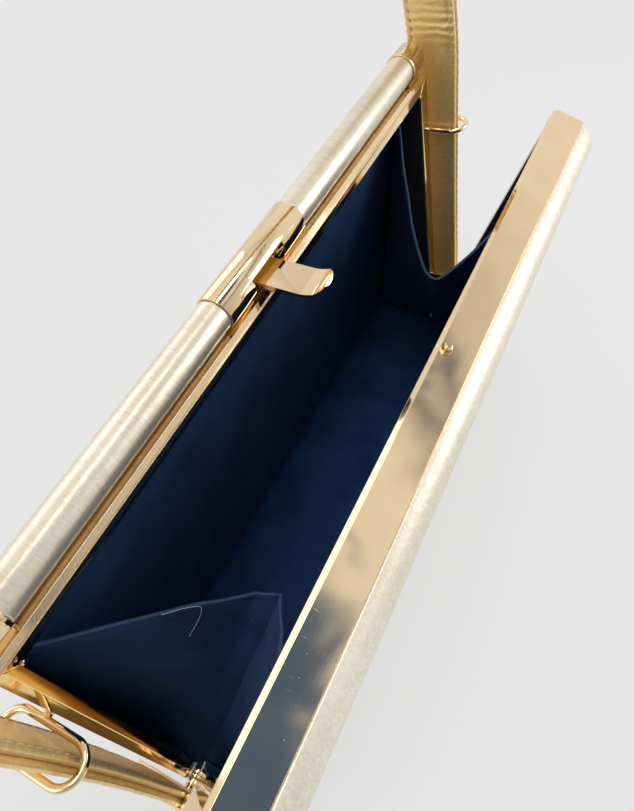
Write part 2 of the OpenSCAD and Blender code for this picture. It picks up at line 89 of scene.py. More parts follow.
# Sizes of the strap
strap_w = 16 * mm
layer_t = 1.8 * mm
layer_gap = 0.2 * mm
strap_out = 4.2 * mm
near_lean = 3.9 * mm
far_lean = 1.8 * mm
ferrule_top = 2 * eye_r + 16 * mm
strap_foot = 2 * eye_r + 0.9 * mm
lean_top = frame_h - 0.3 * mm
handle_top = frame_h + 95 * mm
arch_start = math.radians(2)
crease_z = 119 * mm
crease_reach = 6 * mm
crease_pitch = 2.6 * mm
crease_deep = 0.3 * mm
stitch_pitch = 3.1 * mm
stitch_in = 1.6 * mm
stitch_r = 0.22 * mm
stitch_steps = 7
stitch_row = strap_w / 2 - stitch_in

# The frame gives where the halves stand and how far they lean
joints = {joint["name"]: joint for joint in frame["joints"]}
hinge_at = Vector(joints["front_hinge"]["pos_m"])
lean = math.radians(-joints["front_hinge"]["range_deg"][0] / 2)
rail_low, rail_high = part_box("back_top_rail")
mid_x = (rail_low.x + rail_high.x) / 2
half_l = (rail_high.x - rail_low.x) / 2
back, front = 1, -1
near, far = -1, 1


def place(half, x, y, z):
    """A point of an upright half, x from the bag's middle, where that half stands."""
    out = y * math.cos(lean) + z * math.sin(lean)
    height = z * math.cos(lean) - y * math.sin(lean)
    return Vector((mid_x + x, hinge_at.y + half * out, hinge_at.z + height))


def turned(x, y, z):
    """A direction of the back half where it stands."""
    return place(back, x, y, z) - place(back, 0, 0, 0)


def smooth_step(t):
    t = min(1, max(0, t))
    return t * t * (3 - 2 * t)


def spread(start, end, steps):
    return [start + (end - start) * i / steps for i in range(steps + 1)]


# The camera, fitted to the straight edges of the frame in the photograph
image_long_px = 811
focal_px = 653.64
camera_from_near_end = 5.93 * mm
camera_out = -78.92 * mm
camera_high = 207.88 * mm
camera_right = Vector((0.44390, -0.87932, -0.17249))
camera_down = Vector((-0.75285, -0.26158, -0.60398))


def make_camera():
    data = bpy.data.cameras.new("camera")
    data.lens = data.sensor_width * focal_px / image_long_px
    data.clip_start = 0.005
    camera = bpy.data.objects.new("camera", data)
    bpy.context.scene.collection.objects.link(camera)
    right = turned(*camera_right).normalized()
    down = turned(*camera_down).normalized()
    forward = right.cross(down).normalized()
    axes = Matrix((right, -down, -forward)).transposed()
    at = place(back, camera_from_near_end - half_l, camera_out, camera_high)
    camera.matrix_world = Matrix.Translation(at) @ axes.to_4x4()
    bpy.context.scene.camera = camera


# Meshes
def make_piece(name, points, faces, material, sharp, uvs=None):
    """A mesh piece in the row frame, creased where its faces meet at more than sharp degrees."""
    mesh = bpy.data.meshes.new(name)
    mesh.from_pydata([tuple(p) for p in points], [], faces)
    mesh.materials.append(material)
    if uvs:
        layer = mesh.uv_layers.new(name="surface")
        for loop in mesh.loops:
            layer.data[loop.index].uv = uvs[loop.vertex_index]
    mesh.shade_smooth()
    mesh.set_sharp_from_angle(angle=math.radians(sharp))
    mesh.update()
    piece = bpy.data.objects.new(name, mesh)
    bpy.context.scene.collection.objects.link(piece)
    return piece


def grid_faces(rows, columns, around=False, start=0):
    """Quads over rows of points. around joins each row's end to its start."""
    faces = []
    for r in range(rows - 1):
        for c in range(columns if around else columns - 1):
            d = (c + 1) % columns
            a = start + r * columns
            b = a + columns
            faces.append((a + c, a + d, b + d, b + c))
    return faces


def surface_uvs(rows):
    """Distances over a sheet of rows of points, in metres, as its UVs."""
    uvs = []
    down = 0
    for r, row in enumerate(rows):
        if r:
            down += (row[len(row) // 2] - rows[r - 1][len(row) // 2]).length
        across = 0
        for c, point in enumerate(row):
            if c:
                across += (point - row[c - 1]).length
            uvs.append((across, down))
    return uvs


def sheet_piece(name, rows, material, thick, sharp=50):
    points = [p for row in rows for p in row]
    faces = grid_faces(len(rows), len(rows[0]))
    piece = make_piece(name, points, faces, material, sharp, surface_uvs(rows))
    solid = piece.modifiers.new("thickness", "SOLIDIFY")
    solid.thickness = thick
    solid.offset = 0
    return piece


def tube(points, faces, path, radius, sides=6):
    """Adds a round thread along a path to a mesh's points and faces."""
    base = len(points)
    for i, spot in enumerate(path):
        along = (path[min(i + 1, len(path) - 1)] - path[max(i - 1, 0)]).normalized()
        side = along.cross(up if abs(along.z) < 0.9 else Vector((1, 0, 0))).normalized()
        rise = side.cross(along)
        for s in range(sides):
            turn = 2 * math.pi * s / sides
            points.append(spot + (side * math.cos(turn) + rise * math.sin(turn)) * radius)
    faces += grid_faces(len(path), sides, around=True, start=base)
    faces.append(tuple(base + s for s in range(sides)))
    faces.append(tuple(len(points) - sides + s for s in reversed(range(sides))))


def ripple(point, size, height):
    """A soft unevenness, the same each time, for a point in metres."""
    return noise.noise(point / size) * height


# Materials
class Nodes:
    """Short calls for building a tree of nodes."""

    def __init__(self, tree):
        self.tree = tree

    def add(self, kind, inputs=None, **settings):
        node = self.tree.nodes.new(kind)
        for key, value in settings.items():
            setattr(node, key, value)
        for socket, value in (inputs or {}).items():
            if isinstance(value, bpy.types.NodeSocket):
                self.tree.links.new(value, node.inputs[socket])
            else:
                node.inputs[socket].default_value = value
        return node

    def coordinates(self, source, scale):
        place_node = self.add("ShaderNodeTexCoord")
        return self.add(
            "ShaderNodeMapping", {"Vector": place_node.outputs[source], "Scale": scale}
        ).outputs["Vector"]

    def noise(self, vector, scale, detail=3, roughness=0.5):
        return self.add(
            "ShaderNodeTexNoise",
            {"Vector": vector, "Scale": scale, "Detail": detail, "Roughness": roughness},
        ).outputs["Fac"]

    def ramp(self, value, stops):
        node = self.add("ShaderNodeValToRGB", {"Fac": value})
        ramp = node.color_ramp
        while len(ramp.elements) < len(stops):
            ramp.elements.new(0.5)
        for element, (position, color) in zip(ramp.elements, stops):
            element.position = position
            element.color = (*color, 1)
        return node.outputs["Color"]

    def span(self, value, low, high, to_low, to_high):
        return self.add(
            "ShaderNodeMapRange",
            {
                "Value": value,
                "From Min": low,
                "From Max": high,
                "To Min": to_low,
                "To Max": to_high,
            },
        ).outputs["Result"]

    def math(self, operation, a, b):
        return self.add("ShaderNodeMath", {0: a, 1: b}, operation=operation).outputs[0]

    def vector(self, operation, a, b, output="Vector"):
        node = self.add("ShaderNodeVectorMath", {0: a, 1: b}, operation=operation)
        return node.outputs[output]

    def mix(self, factor, a, b):
        node = self.add("ShaderNodeMix", {"Factor": factor, 6: a, 7: b}, data_type="RGBA")
        return node.outputs[2]

    def bump(self, height, strength, distance, under=None):
        inputs = {"Height": height, "Strength": strength, "Distance": distance}
        if under:
            inputs["Normal"] = under
        return self.add("ShaderNodeBump", inputs).outputs["Normal"]


class Surface(Nodes):
    """A new material. Its settings are the shader's sockets that are the same all over."""

    def __init__(self, name, **settings):
        self.material = bpy.data.materials.new(name)
        self.material.use_nodes = True
        super().__init__(self.material.node_tree)
        self.shader = self.tree.nodes["Principled BSDF"]
        for socket, value in settings.items():
            self.shader.inputs[socket.replace("_", " ")].default_value = value

    def set(self, socket, value):
        self.tree.links.new(value, self.shader.inputs[socket])


even = (1, 1, 1)


def gold_metal(name, color, rough, crown=0, painted_shade_core=None):
    """Polished plating with faint waves, cloudy smudges, hairline scratches and specks.

    crown is how steeply the outer half of a side rail's band leans outward. Within the last
    argument's distance from the bar's axis, the plating is painted a dull deep amber. This is
    painted shade with a painted reflection of the gold sleeve, where the lever's root lies in the
    sleeve's shade.
    """
    n = Surface(name, Metallic=1, Specular_IOR_Level=0.6)
    where = n.coordinates("Object", even)
    cloudy = n.noise(where, 90, 3)
    tone = [c * 0.93 for c in color]
    plated = n.ramp(cloudy, [(0.35, tone), (0.65, color)])
    fine = n.noise(n.coordinates("Object", (0.15, 1, 1)), 2600, 4, 0.7)
    hairs = n.noise(n.coordinates("Object", (1, 0.06, 1)), 1500, 2, 0.5)
    specks = n.add("ShaderNodeTexVoronoi", {"Vector": where, "Scale": 420}).outputs["Distance"]
    smudge = n.span(cloudy, 0.35, 0.75, rough * 0.7, rough * 1.5)
    scuffs = n.span(fine, 0.6, 0.85, 0, rough * 1.6)
    scratches = n.span(hairs, 0.68, 0.8, 0, rough * 2)
    lines = n.math("ADD", scuffs, scratches)
    worn = n.math("ADD", lines, n.span(specks, 0.02, 0.05, 0.3, 0))
    worn = n.math("ADD", smudge, worn)
    if painted_shade_core:
        # Painted shade and painted reflection: near the bar's axis the plating turns a dull amber,
        # less metallic and rougher, for the lever's root in the sleeve's shade
        from_axis = n.vector("SUBTRACT", where, place(back, 0, bar_y, bar_z))
        flat = n.vector("MULTIPLY", from_axis, (0, 1, 1))
        away = n.add("ShaderNodeVectorMath", {0: flat}, operation="LENGTH").outputs["Value"]
        outside_painted_shade = n.span(away, painted_shade_core * 0.97, painted_shade_core * 1.03, 0, 1)
        amber = (0.68, 0.31, 0.04, 1)
        plated = n.mix(outside_painted_shade, amber, plated)
        n.set("Metallic", n.span(outside_painted_shade, 0, 1, 0.2, 1))
        worn = n.math("ADD", worn, n.span(outside_painted_shade, 0, 1, 0.3, 0))
    n.set("Base Color", plated)
    n.set("Roughness", worn)
    shape = n.bump(n.noise(where, 55, 2), 0.12, 0.4 * mm)
    if crown:
        across = n.add("ShaderNodeSeparateXYZ", {"Vector": where}).outputs["X"]
        from_middle = n.math("ABSOLUTE", n.math("SUBTRACT", across, mid_x), 0)
        ridge = n.math("SUBTRACT", from_middle, half_l - side_rim_w / 2)
        outer_fall = n.math("MULTIPLY", ridge, crown)
        inner_fall = n.math("MULTIPLY", ridge, crown / 2)
        fall = n.math("MAXIMUM", outer_fall, inner_fall)
        shape = n.bump(n.math("MULTIPLY", fall, -1), 1, 1, shape)
    n.set("Normal", n.bump(fine, 0.05, 0.03 * mm, shape))
    return n.material


def leather(name, light, dark, source, lines, metallic, rough):
    """Metallic leather. lines stretches its fine crinkles, which run where it is small."""
    n = Surface(name, Metallic=metallic, Coat_Weight=0.06, Coat_Roughness=0.3)
    where = n.coordinates(source, even)
    fine = n.noise(n.coordinates(source, lines), 2300, 4, 0.6)
    broad = n.noise(n.coordinates(source, lines), 700, 3, 0.5)
    crinkle = n.math("ADD", n.math("MULTIPLY", fine, 0.75), n.math("MULTIPLY", broad, 0.25))
    pores = n.add(
        "ShaderNodeTexVoronoi", {"Vector": where, "Scale": 2800}, feature="SMOOTH_F1"
    ).outputs["Distance"]
    cloudy = n.noise(where, 40, 3)
    mottled = n.math("ADD", n.math("MULTIPLY", crinkle, 0.7), n.math("MULTIPLY", cloudy, 0.3))
    n.set("Base Color", n.ramp(mottled, [(0.36, dark), (0.6, light)]))
    n.set("Roughness", n.span(crinkle, 0.35, 0.65, rough * 1.2, rough * 0.85))
    grain = n.bump(pores, 0.12, 0.04 * mm)
    creased = n.bump(crinkle, 0.5, 0.09 * mm, grain)
    n.set("Normal", n.bump(cloudy, 0.15, 0.5 * mm, creased))
    return n.material


def twill(name, low, middle, high):
    """Twill weave in three tones, with specks of lint."""
    n = Surface(
        name,
        Roughness=0.85,
        Sheen_Weight=0.1,
        Sheen_Roughness=0.4,
        Sheen_Tint=(0.3, 0.5, 0.9, 1),
        Specular_IOR_Level=0.22,
    )
    where = n.coordinates("UV", even)
    line_pitch = 0.5 * mm
    thread_pitch = 0.26 * mm
    diagonal = n.add(
        "ShaderNodeTexWave",
        {"Vector": where, "Scale": 0.444 / line_pitch, "Distortion": 1.2, "Detail Scale": 2},
        bands_direction="DIAGONAL",
    ).outputs["Fac"]
    thread = n.add(
        "ShaderNodeTexWave",
        {"Vector": where, "Scale": 0.314 / thread_pitch, "Distortion": 0.8},
        bands_direction="X",
    ).outputs["Fac"]
    cloudy = n.noise(where, 60, 4)
    weave = n.math("ADD", n.math("MULTIPLY", diagonal, 0.65), n.math("MULTIPLY", thread, 0.35))
    shade = n.math("ADD", n.math("MULTIPLY", weave, 0.6), n.math("MULTIPLY", cloudy, 0.4))
    tones = n.ramp(shade, [(0.3, low), (0.5, middle), (0.72, high)])
    dust = n.add("ShaderNodeTexVoronoi", {"Vector": where, "Scale": 160}).outputs["Distance"]
    speck = n.span(dust, 0.015, 0.03, 1, 0)
    pale_speck = (0.3, 0.33, 0.42, 1)
    n.set("Base Color", n.mix(speck, tones, pale_speck))
    n.set("Normal", n.bump(weave, 0.7, 0.1 * mm))
    return n.material


def plain(name, color, rough, metallic=0, grain=900):
    """A quiet material with a fine grain, for thread, lint, cut edges, board and dull brass, whose
    deep amber is partly painted shade.
    """
    n = Surface(name, Metallic=metallic)
    grainy = n.noise(n.coordinates("Object", even), grain, 4, 0.6)
    tone = [c * 0.8 for c in color]
    n.set("Base Color", n.ramp(grainy, [(0.3, tone), (0.7, color)]))
    n.set("Roughness", n.span(grainy, 0.3, 0.7, rough * 0.85, rough * 1.1))
    n.set("Normal", n.bump(grainy, 0.3, 0.05 * mm))
    return n.material


pale_gold = (0.93, 0.715, 0.45)
gold = gold_metal("light_gold", pale_gold, 0.07)
rim_gold = gold_metal("rim_gold", (0.97, 0.68, 0.27), 0.1, crown=0.28)
# The lever's plating has painted shade and a painted amber reflection of the sleeve around the
# bar's axis
clasp_gold_painted_shade = gold_metal("clasp_gold_painted_shade", pale_gold, 0.07, painted_shade_core=knuckle_reach)
# Brass for the bar's core, tubes and lever spring. Its deep saturated amber is partly the brass's
# own colour and partly painted shade with a painted reflection of the gold sleeve.
brass = plain("brass_painted_shade", (0.72, 0.38, 0.1), 0.35, 0.35, 2000)
champagne = leather(
    "champagne_leather", (0.91, 0.835, 0.7), (0.73, 0.64, 0.49), "Object", (1, 0.1, 0.1), 0.75, 0.34
)
cover_leather = leather(
    "cover_leather", (0.89, 0.82, 0.69), (0.72, 0.635, 0.49), "Object", (0.8, 0.45, 0.45), 0.55, 0.4
)
strap_gold = leather(
    "strap_leather", (0.95, 0.71, 0.31), (0.76, 0.52, 0.18), "UV", (0.3, 1, 1), 0.35, 0.32
)
thread = plain("thread", (0.76, 0.62, 0.38), 0.6, 0, 3000)
lint = plain("white_lint", (0.8, 0.82, 0.86), 0.7, 0, 3000)
lining = twill(
    "navy_twill", (0.002, 0.011, 0.042), (0.006, 0.029, 0.105), (0.036, 0.1, 0.27)
)
shaded_lining = twill(
    "shaded_twill", (0.008, 0.008, 0.01), (0.022, 0.02, 0.024), (0.05, 0.048, 0.055)
)
fabric_edge = plain("navy_edge", (0.036, 0.078, 0.165), 0.8, 0, 3000)
board = plain("grey_board", (0.34, 0.33, 0.31), 0.8)


# The leather covers
def wall_turn(top_r, low_r):
    d = pad_centre - base_centre
    return math.atan2(d.y, d.x) - math.acos((low_r - top_r) / d.length)


def arc(centre, radius, start, end, steps):
    """Points of an arc with their outward directions."""
    found = []
    for turn in spread(start, end, steps):
        out = Vector((math.cos(turn), math.sin(turn)))
        found.append((centre + out * radius, out))
    return found


def run(a, b, steps):
    """Points between two, both left out, with the first one's direction."""
    return [(a[0].lerp(b[0], i / steps), a[1]) for i in range(1, steps)]


def cover_outline():
    """The leather's outline in (y, z), from the hem at the hinge line to the top plate."""
    right = math.pi / 2
    wall = wall_turn(pad_r, base_r)
    seam = arc(seam_centre, seam_r, 2 * right, 3 * right, 10)
    base = arc(base_centre, base_r, -right, wall, 10)
    roll = arc(pad_centre, pad_r, wall, right, 14)
    hem = (Vector((rim_face, shell_floor + seam_r + leather_t)), seam[0][1])
    bulge = 0.9 * mm
    steps = 26
    face = []
    for i, (point, out) in enumerate(run(base[-1], roll[0], steps)):
        face.append((point + out * bulge * math.sin(math.pi * (i + 1) / steps) ** 0.8, out))
    return [hem] + seam + run(seam[-1], base[0], 8) + base + face + roll


def clear_hinge(point, x):
    """Keeps the leather off the hinge eyes at the ends."""
    room = eye_r + 0.5 * mm
    if half_l - abs(x) < 5 * mm and point.length < room:
        return point.normalized() * room
    return point


def end_line(point):
    """Where the end's leather meets the metal rail, opposite a point of the outline."""
    if point.y > rail_foot:
        return Vector((plate_d, min(point.y, frame_h - pad_drop)))
    return Vector((min(max(point.x, rim_back), plate_d), rail_foot))


def make_cover(half, name):
    """The leather of a half: rings along its length, then the flat ends up to the rails."""
    cover_t = 0.4 * mm
    outline = [(point - out * cover_t / 2, out) for point, out in cover_outline()]
    fold = 1.3 * mm
    ends = []
    for turn in spread(math.pi / 2, 0, 5):
        ends.append((half_l - fold * (1 - math.sin(turn)), fold * (1 - math.cos(turn))))
    inner = [(x, 0) for x in spread(half_l - fold, fold - half_l, 64)[1:-1]]
    rings = ends + inner + [(-x, inset) for x, inset in reversed(ends)]
    rows = []
    for x, inset in rings:
        row = []
        for point, out in outline:
            p = clear_hinge(point - out * inset, x)
            soft = ripple(Vector((x, p.x * half, p.y)), 22 * mm, 0.12 * mm)
            p = p + out * (soft if inset == 0 else 0)
            row.append(place(half, x, p.x, p.y))
        rows.append(row)
    seam_share = 0.12
    seam_deep = 0.25 * mm
    for sign in (1, -1):
        x = sign * half_l
        cap = []
        for point, out in outline:
            edge = point - out * fold
            cap.append([edge, end_line(edge)])
        for share in (seam_share, 0.2, 1):
            row = []
            for edge, line in cap:
                p = edge.lerp(line, share)
                sink = seam_deep if share == seam_share else 0
                row.append(place(half, x - sign * sink, *clear_hinge(p, x)))
            if sign == 1:
                rows.insert(0, row)
            else:
                rows.append(row)
    return sheet_piece(name, rows, cover_leather, cover_t, 60)


# The lining: walls and floor as one sheet over the hinge, with the ends behind the rims
inner_r = 0.4 * mm
lining_sheet_t = 0.3 * mm


def inner_wall():
    """The lining wall's outward and upward directions in (y, z)."""
    turn = wall_turn(inner_r, inner_r)
    out = Vector((math.cos(turn), math.sin(turn)))
    return out, Vector((-out.y, out.x))


def lining_outline():
    """The lining's line in (y, z) of a half, from the top plate to the hinge line."""
    slack = 0.25 * mm
    crease_r = 2.4 * mm
    out, along = inner_wall()
    floor = base_centre.y - inner_r + slack
    low = base_centre + out * (inner_r - slack)
    low = low + along * ((floor + crease_r * 1.2 - low.y) / along.y)
    top = low + along * ((frame_h - pad_drop - pad_r - low.y) / along.y)
    ledge = Vector((plate_d - slack, frame_h - metal_t - slack))
    rim = Vector((rim_back + slack, frame_h - metal_t - slack))
    lip = Vector((rim_back + slack, frame_h - top_rim_w))
    corner = Vector((low.x - crease_r * 1.1, floor))
    mid = corner.lerp(low, 0.5) + Vector((crease_r, -crease_r)) * 0.2
    points = [lip, rim, ledge]
    wall_steps = 24
    points += [top.lerp(low, i / wall_steps) for i in range(wall_steps + 1)]
    points += [mid, corner]
    hinge_side = Vector((0.8 * mm, floor))
    floor_steps = 10
    points += [corner.lerp(hinge_side, i / floor_steps) for i in range(1, floor_steps + 1)]
    return points


def make_lining():
    reach = half_l - metal_t - board_t - lining_t - 0.3 * mm
    line_down = lining_outline()
    line_up = list(reversed(line_down))
    rows = []
    for x in spread(-reach, reach, 60):
        row = []
        for half, line in ((back, line_down), (front, line_up)):
            for point in line:
                spot = place(half, x, point.x, point.y)
                inward = Vector((0, -half, 0.15))
                free = 1 if 8 * mm < point.y < 96 * mm else 0.4
                soft = (0.5 + ripple(spot, 26 * mm, 1)) * 0.5 * mm * free
                row.append(spot + inward * soft)
        rows.append(row)
    return sheet_piece("lining_cloth", rows, lining, lining_sheet_t)


def make_lining_end(half, end, name):
    """The flat lining wall behind a side rim."""
    x = end * (half_l - metal_t - board_t - lining_t - 0.35 * mm)
    along = inner_wall()[1]
    gap = 0.2 * mm
    rows = []
    for z in spread(2.4 * mm, frame_h - top_rim_w - 1 * mm, 30):
        edge = base_centre + along * ((z - base_centre.y) / along.y)
        row = []
        for share in spread(0, 1, 8):
            y = (rim_back + gap) * (1 - share) + (edge.x + gap) * share
            puff = 0.5 * mm * math.sin(math.pi * share)
            row.append(place(half, x - end * puff, y, z))
        rows.append(row)
    piece = sheet_piece(name, rows, shaded_lining, lining_sheet_t)
    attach(piece, "back_half" if half == back else "front_half")
    return piece


# The gussets, folded inward at both ends of the mouth
gusset_edge_in = 4 * mm
gusset_top = Vector((plate_d, frame_h - plate_d))
gusset_low = base_centre + Vector((-0.6, 0.2)) * mm
gusset_t = 0.35 * mm
hem_t = 0.8 * mm
tip_in = 43.8 * mm
tip_up = 62.9 * mm
tip_back = {near: -3.2 * mm, far: -1.6 * mm}
tip_front = {near: -8.8 * mm, far: -6.4 * mm}


def stand(x, y, z):
    """A point about the hinge line in the row's own directions."""
    return Vector((mid_x + x, hinge_at.y + y, hinge_at.z + z))


def along_line(stops, steps):
    """Points at even shares of each stretch of a line of stops."""
    found = [stops[0]]
    for a, b in zip(stops, stops[1:]):
        found += [a.lerp(b, i / steps) for i in range(1, steps + 1)]
    return found


def relaxed(row, times):
    """The row with its bends rounded off and its ends kept."""
    for _ in range(times):
        inner = [(row[i - 1] + row[i] * 2 + row[i + 1]) / 4 for i in range(1, len(row) - 1)]
        row = [row[0]] + inner + [row[-1]]
    return row


def gusset_row(end, v):
    """The gusset's line from back to front at a share v of its height."""
    edge = gusset_low.lerp(gusset_top, v)
    edge_x = end * (half_l - gusset_edge_in)
    foot_in = gusset_edge_in + 1 * mm
    foot_up = 3 * mm
    foot_half = 1.2 * mm * (1 - v)
    fold_x = half_l - foot_in - (tip_in - foot_in) * v
    fold_z = foot_up + (tip_up - foot_up) * v
    flat = 1.1 * mm
    stops = [
        place(back, edge_x, edge.x, edge.y),
        stand(end * (fold_x + flat), tip_back[end] * v + foot_half, fold_z),
        stand(end * (fold_x - flat), tip_front[end] * v - foot_half, fold_z),
        place(front, edge_x, edge.x, edge.y),
    ]
    wing = 22
    row = along_line(stops[:2], wing)[:-1]
    row += along_line(stops[1:3], 4)
    row += along_line(stops[2:], wing)[1:]
    row = relaxed(row, 0 if end == near else 3)
    last = len(row) - 1
    for i, point in enumerate(row):
        share = i / last
        wing_share = math.sin(2 * math.pi * share) ** 2
        sag = Vector((-end * 0.5, 0, -1)) * wing_share * (1 * mm + 1.6 * mm * v)
        fold = math.sin(math.pi * (5 * share + 1.5 * v)) * wing_share * (1 - v) * 1.2 * mm
        soft = ripple(point, 13 * mm, 1.3 * mm) * math.sin(math.pi * share) + fold
        row[i] = point + sag + Vector((end * soft, 0, soft * 0.6))
    return row


def make_gusset(end, name):
    rows = [gusset_row(end, v) for v in spread(0, 1, 36)]
    return sheet_piece(name, rows, lining, gusset_t)


def make_gusset_hem(end, name):
    """The turned hem along the gusset's top edge, narrowest at the fold."""
    rows = []
    low = gusset_row(end, 0.945)
    high = gusset_row(end, 1)
    for level in spread(0, 1, 4):
        row = []
        for i, (a, b) in enumerate(zip(low, high)):
            narrow = 0.65 * math.sin(math.pi * i / (len(low) - 1)) ** 2
            row.append(a.lerp(b, narrow + (1.01 - narrow) * level))
        rows.append(row)
    hem = sheet_piece(name, rows, lining, hem_t)
    hem.data.materials.append(fabric_edge)
    solid = hem.modifiers["thickness"]
    solid.material_offset_rim = 1
    return hem


def make_loose_thread(end, name):
    """A stray white thread that lies along the hem and hangs over the back wing.

    Its stops are columns of the gusset and how far each is down the cloth.
    """
    lint_r = 0.06 * mm
    top = gusset_row(end, 1)
    low = gusset_row(end, 0.8)
    path = []
    for column, drop in ((12, 0.0), (14, -0.02), (16, 0.0), (16, 0.3), (15, 0.8)):
        path.append(top[column].lerp(low[column], drop) + Vector((end * 0.6, -0.3, 0.6)) * mm)
    path = relaxed(along_line(path, 5), 4)
    points, faces = [], []
    tube(points, faces, path, lint_r)
    return make_piece(name, points, faces, lint, 60)


# The bar's leather, lapped along its underside
def make_bar_wrap(end, name):
    start = half_l - cap_l + 0.3 * mm
    stop = sleeve_l / 2 - 0.3 * mm
    lap_turn = math.radians(-115)
    lap_high = 0.22 * mm
    lap_steps = 7
    steps = 64
    rows = []
    for x in spread(start, stop, 70):
        row = []
        for i in range(steps):
            turn = lap_turn + 2 * math.pi * i / steps
            y, z = math.cos(turn), math.sin(turn)
            lap = lap_high * (1 - smooth_step(i / lap_steps))
            r = bar_r - 0.02 * mm + lap + ripple(Vector((x * end, y, z)) * 8, 9 * mm, 0.03 * mm)
            r += ripple(Vector((x, y * bar_r, z * bar_r)), 3 * mm, 0.035 * mm)
            row.append(place(back, end * x, bar_y + r * y, bar_z + r * z))
        rows.append(row)
    points = [p for row in rows for p in row]
    faces = grid_faces(len(rows), steps, around=True)
    piece = make_piece(name, points, faces, champagne, 60)
    solid = piece.modifiers.new("thickness", "SOLIDIFY")
    solid.thickness = leather_t * 0.8
    # The near wrap's faces point outward and the far one's inward, and both thicken inward
    solid.offset = -1 if end == near else 1
    return piece


# The strap, from one connector over the crown to the other
arch_half = half_l + strap_out + (near_lean + far_lean) / 2
arch_a = arch_half / math.cos(arch_start)
arch_b = (handle_top - lean_top) / (1 + math.sin(arch_start))
arch_z = lean_top + arch_b * math.sin(arch_start)
arch_mid = (far_lean - near_lean) / 2


def strap_line():
    """The strap's middle line in (x, z) of the back half, in even steps, each with its
    outward direction."""
    leg_steps = 100
    arch_steps = 600
    points = []
    for z in spread(strap_foot, lean_top, leg_steps):
        lift = max(0, (z - ferrule_top) / (lean_top - ferrule_top))
        points.append(Vector((-half_l - strap_out - near_lean * lift ** 2, z)))
    for turn in spread(math.pi + arch_start, -arch_start, arch_steps)[1:-1]:
        points.append(
            Vector((arch_mid + arch_a * math.cos(turn), arch_z + arch_b * math.sin(turn)))
        )
    for z in spread(lean_top, strap_foot, leg_steps):
        lift = max(0, (z - ferrule_top) / (lean_top - ferrule_top))
        points.append(Vector((half_l + strap_out + far_lean * lift ** 2, z)))
    line = []
    gone = 0
    step = stitch_pitch / stitch_steps
    for a, b in zip(points, points[1:]):
        length = (b - a).length
        out = Vector((a.y - b.y, b.x - a.x)).normalized()
        while len(line) * step <= gone + length:
            line.append((a.lerp(b, (len(line) * step - gone) / length), out))
        gone += length
    return line


def layer_outline(along):
    """One layer's section as (across, out): its padded outer face, then its flat inner face."""
    puff = 0.5 - 0.5 * math.cos(2 * math.pi * along / stitch_pitch)
    round_r = layer_t / 2
    half_w = strap_w / 2 - 0.12 * mm * puff
    outer = []
    for turn in spread(math.pi, math.pi / 2, 5):
        across = round_r * math.cos(turn) - half_w + round_r
        outer.append((across, round_r + round_r * math.sin(turn)))
    for across in spread(round_r - half_w, 0, 14)[1:]:
        off = (across + stitch_row) / (0.5 * mm)
        groove = (0.22 + 0.2 * puff) * mm * math.exp(-off * off)
        outer.append((across, layer_t - groove))
    outer += [(-across, height) for across, height in reversed(outer[:-1])]
    inner = [(across, 0) for across in (half_w - round_r, 0, round_r - half_w)]
    return outer + inner


def make_strap_layer(name, side):
    line = strap_line()
    points, uvs = [], []
    for i, (point, out) in enumerate(line):
        along = i * stitch_pitch / stitch_steps
        section = layer_outline(along)
        for across, height in section:
            p = point + out * side * (layer_gap / 2 + height)
            spot = place(back, p.x, across, p.y)
            soft = ripple(Vector((across, along, side * 0.1)), 9 * mm, 0.12 * mm)
            if p.x > 0 and side < 0:
                creased = math.exp(-(((p.y - crease_z) / crease_reach) ** 2)) * crease_deep
                waver = ripple(Vector((across, along, 0)), 4 * mm, 1.5)
                soft += creased * math.sin(2 * math.pi * along / crease_pitch + waver)
            points.append(spot + turned(out.x, 0, out.y) * side * soft * height / layer_t)
            uvs.append((across, along))
    count = len(section)
    faces = grid_faces(len(line), count, around=True)
    faces.append(tuple(range(count)))
    faces.append(tuple(reversed(range(len(points) - count, len(points)))))
    return make_piece(name, points, faces, strap_gold, 50, uvs)


def make_stitches(name):
    """Rows of thread along both edges of both faces."""
    line = strap_line()
    first = math.ceil((ferrule_top - strap_foot) / stitch_pitch)
    count = len(line) // stitch_steps - first
    points, faces = [], []
    for face in (1, -1):
        for edge in (1, -1):
            for k in range(first, count):
                path = []
                for step, sunk in enumerate((0.42, 0.16, 0.1, 0.1, 0.16, 0.42)):
                    point, out = line[k * stitch_steps + 1 + step]
                    p = point + out * face * (layer_gap / 2 + layer_t - sunk * mm)
                    path.append(place(back, p.x, edge * stitch_row, p.y))
                tube(points, faces, path, stitch_r)
    return make_piece(name, points, faces, thread, 60)


# Dressing the construction's own pieces
def dress(node, material, edge=0.12 * mm):
    """Gives a CAD node its material and small rounded edges."""
    piece = frame["nodes"][node]
    piece.data.materials.clear()
    piece.data.materials.append(material)
    weld = piece.modifiers.new("weld", "WELD")
    weld.merge_threshold = 0.002 * mm
    if edge:
        bevel = piece.modifiers.new("edges", "BEVEL")
        bevel.width = edge
        bevel.segments = 2
        bevel.limit_method = "ANGLE"
        bevel.angle_limit = math.radians(40)
        bevel.harden_normals = True


def dress_all():
    soft = ("lining", "leather", "padding", "_end_", "strap", "handle", "gusset")
    for node in sorted(frame["nodes"]):
        if any(word in node for word in soft):
            continue
        if "board" in node:
            dress(node, board, 0)
        elif node in ("bar_core", "lever_spring") or "bar_tube" in node:
            dress(node, brass, 0)
        elif "_rail_" in node:
            dress(node, rim_gold)
        elif node == "clasp_lever":
            dress(node, clasp_gold_painted_shade)
        else:
            dress(node, gold)


